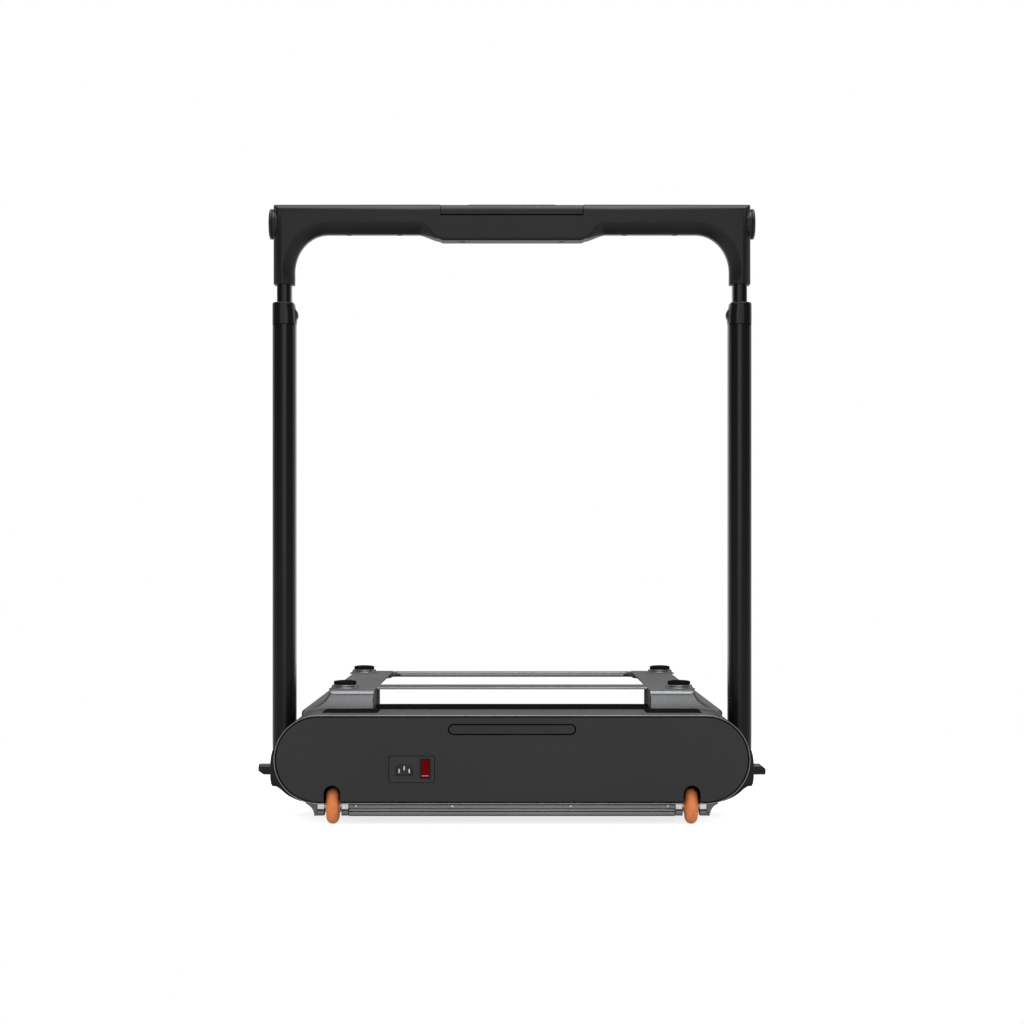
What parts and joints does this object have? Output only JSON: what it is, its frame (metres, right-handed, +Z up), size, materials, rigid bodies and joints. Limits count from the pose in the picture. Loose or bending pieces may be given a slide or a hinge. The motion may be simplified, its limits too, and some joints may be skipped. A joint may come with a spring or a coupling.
{
  "type": "treadmill",
  "caption": "Folding walking-pad treadmill with its deck folded in half, an upright telescopic handlebar and transport wheels",
  "frame": {"origin": "centre of the footprint on the floor, with the deck folded and the handlebar upright", "axes": "+X across the deck to the right seen from the motor end, +Y from the motor end towards the fold, +Z up"},
  "size_m": [0.7258, 0.79, 0.8713],
  "materials": {
    "cast_silver": "satin painted casting",
    "polished": "polished",
    "satin_black": "satin powder coat",
    "handle_black": "satin moulded plastic",
    "panel_grey": "fine matte",
    "shell_grey": "semi-gloss moulded plastic",
    "rubber_black": "matte rubber",
    "belt_black": "fine diamond grain",
    "deck_board": "waxed fibreboard",
    "steel": "turned steel",
    "orange": "satin polyurethane",
    "red": "translucent rocker plastic",
    "dark_plastic": "fine texture",
    "gloss_black": "polished black",
    "circuit_green": "circuit board"
  },
  "bodies": {
    "base": {"front_frame_right": "cast_silver", "front_frame_left": "cast_silver", "front_deck_board": "deck_board", "front_belt": "belt_black", "front_fold_bar": "cast_silver", "front_foot_near_left": "rubber_black", "front_foot_far_left": "rubber_black", "front_foot_near_right": "rubber_black", "front_foot_far_right": "rubber_black", "fold_pin_right": "steel", "fold_pin_left": "steel", "motor": "dark_plastic", "drive_belt": "rubber_black", "control_board": "circuit_green", "hood_shell": "shell_grey", "front_panel": "panel_grey", "front_trim": "polished", "inlet_housing": "dark_plastic", "inlet_contacts": "steel", "front_crossbar": "cast_silver", "wheel_fork_right": "polished", "wheel_fork_left": "polished", "wheel_axle_right": "steel", "wheel_axle_left": "steel", "post_bracket_right": "satin_black", "post_bracket_left": "satin_black"},
    "rear_deck": {"rear_frame_right": "cast_silver", "rear_frame_left": "cast_silver", "rear_deck_board": "deck_board", "rear_belt": "belt_black", "rear_fold_bar": "cast_silver", "rear_foot_near_left": "rubber_black", "rear_foot_far_left": "rubber_black", "rear_foot_near_right": "rubber_black", "rear_foot_far_right": "rubber_black", "rear_end_plate": "cast_silver"},
    "rear_roller": {"rear_roller": "steel"},
    "drive_roller": {"drive_roller": "steel"},
    "motor_pulley": {"motor_pulley": "steel"},
    "uprights": {"post_right": "satin_black", "post_left": "satin_black", "collar_right": "handle_black", "collar_left": "handle_black"},
    "handlebar": {"handlebar": "handle_black", "display_cover": "gloss_black", "inner_tube_right": "satin_black", "inner_tube_left": "satin_black", "end_cap_right": "dark_plastic", "end_cap_left": "dark_plastic"},
    "key_slower": {"key_slower": "dark_plastic"},
    "key_start": {"key_start": "dark_plastic"},
    "key_faster": {"key_faster": "dark_plastic"},
    "power_rocker": {"power_rocker": "red"},
    "wheel_left": {"wheel_left": "orange"},
    "wheel_right": {"wheel_right": "orange"},
    "lock_lever_left": {"lock_lever_left": "dark_plastic"},
    "lock_lever_right": {"lock_lever_right": "dark_plastic"},
    "height_button_left": {"height_button_left": "dark_plastic"},
    "height_button_right": {"height_button_right": "dark_plastic"}
  },
  "joints": [
    {"name": "deck_fold", "type": "hinge", "parent": "base", "child": "rear_deck", "pos_m": [0, 0.388, 0.095], "axis": [-1, 0, 0], "range_deg": [0, 180]},
    {"name": "uprights_fold", "type": "hinge", "parent": "base", "child": "uprights", "pos_m": [0, -0.226, 0.067], "axis": [-1, 0, 0], "range_deg": [0, 85]},
    {"name": "handlebar_height", "type": "slide", "parent": "uprights", "child": "handlebar", "axis": [0, 0, 1], "range_m": [-0.024, 0.18]},
    {"name": "lock_lever_left_turn", "type": "hinge", "parent": "base", "child": "lock_lever_left", "pos_m": [-0.353, -0.226, 0.067], "axis": [1, 0, 0], "range_deg": [0, 90]},
    {"name": "height_button_left_press", "type": "slide", "parent": "uprights", "child": "height_button_left", "axis": [-1, 0, 0], "range_m": [0, 0.0025], "stiffness_N_per_m": 400, "springref_m": -0.0005},
    {"name": "wheel_left_turn", "type": "hinge", "parent": "base", "child": "wheel_left", "pos_m": [-0.247, -0.3696, 0.0248], "axis": [1, 0, 0], "continuous": true},
    {"name": "lock_lever_right_turn", "type": "hinge", "parent": "base", "child": "lock_lever_right", "pos_m": [0.353, -0.226, 0.067], "axis": [1, 0, 0], "range_deg": [0, 90]},
    {"name": "height_button_right_press", "type": "slide", "parent": "uprights", "child": "height_button_right", "axis": [1, 0, 0], "range_m": [0, 0.0025], "stiffness_N_per_m": 400, "springref_m": -0.0005},
    {"name": "wheel_right_turn", "type": "hinge", "parent": "base", "child": "wheel_right", "pos_m": [0.247, -0.3696, 0.0248], "axis": [1, 0, 0], "continuous": true},
    {"name": "power_rocker_tilt", "type": "hinge", "parent": "base", "child": "power_rocker", "pos_m": [-0.119, -0.389, 0.0776], "axis": [1, 0, 0], "range_deg": [0, 8]},
    {"name": "drive_roller_turn", "type": "hinge", "parent": "base", "child": "drive_roller", "pos_m": [0, -0.285, 0.065], "axis": [1, 0, 0], "continuous": true},
    {"name": "motor_pulley_turn", "type": "hinge", "parent": "base", "child": "motor_pulley", "pos_m": [0.2, -0.351, 0.068], "axis": [1, 0, 0], "continuous": true},
    {"name": "rear_roller_turn", "type": "hinge", "parent": "rear_deck", "child": "rear_roller", "pos_m": [0, -0.215, 0.125], "axis": [1, 0, 0], "continuous": true},
    {"name": "key_slower_press", "type": "slide", "parent": "handlebar", "child": "key_slower", "axis": [0, 0, -1], "range_m": [0, 0.0012], "stiffness_N_per_m": 400, "springref_m": -0.0002},
    {"name": "key_start_press", "type": "slide", "parent": "handlebar", "child": "key_start", "axis": [0, 0, -1], "range_m": [0, 0.0012], "stiffness_N_per_m": 400, "springref_m": -0.0002},
    {"name": "key_faster_press", "type": "slide", "parent": "handlebar", "child": "key_faster", "axis": [0, 0, -1], "range_m": [0, 0.0012], "stiffness_N_per_m": 400, "springref_m": -0.0002}
  ],
  "couplings": [
    {"joint": "motor_pulley_turn", "follows": "drive_roller_turn", "ratio": 2.1983},
    {"joint": "rear_roller_turn", "follows": "drive_roller_turn", "ratio": 1}
  ]
}
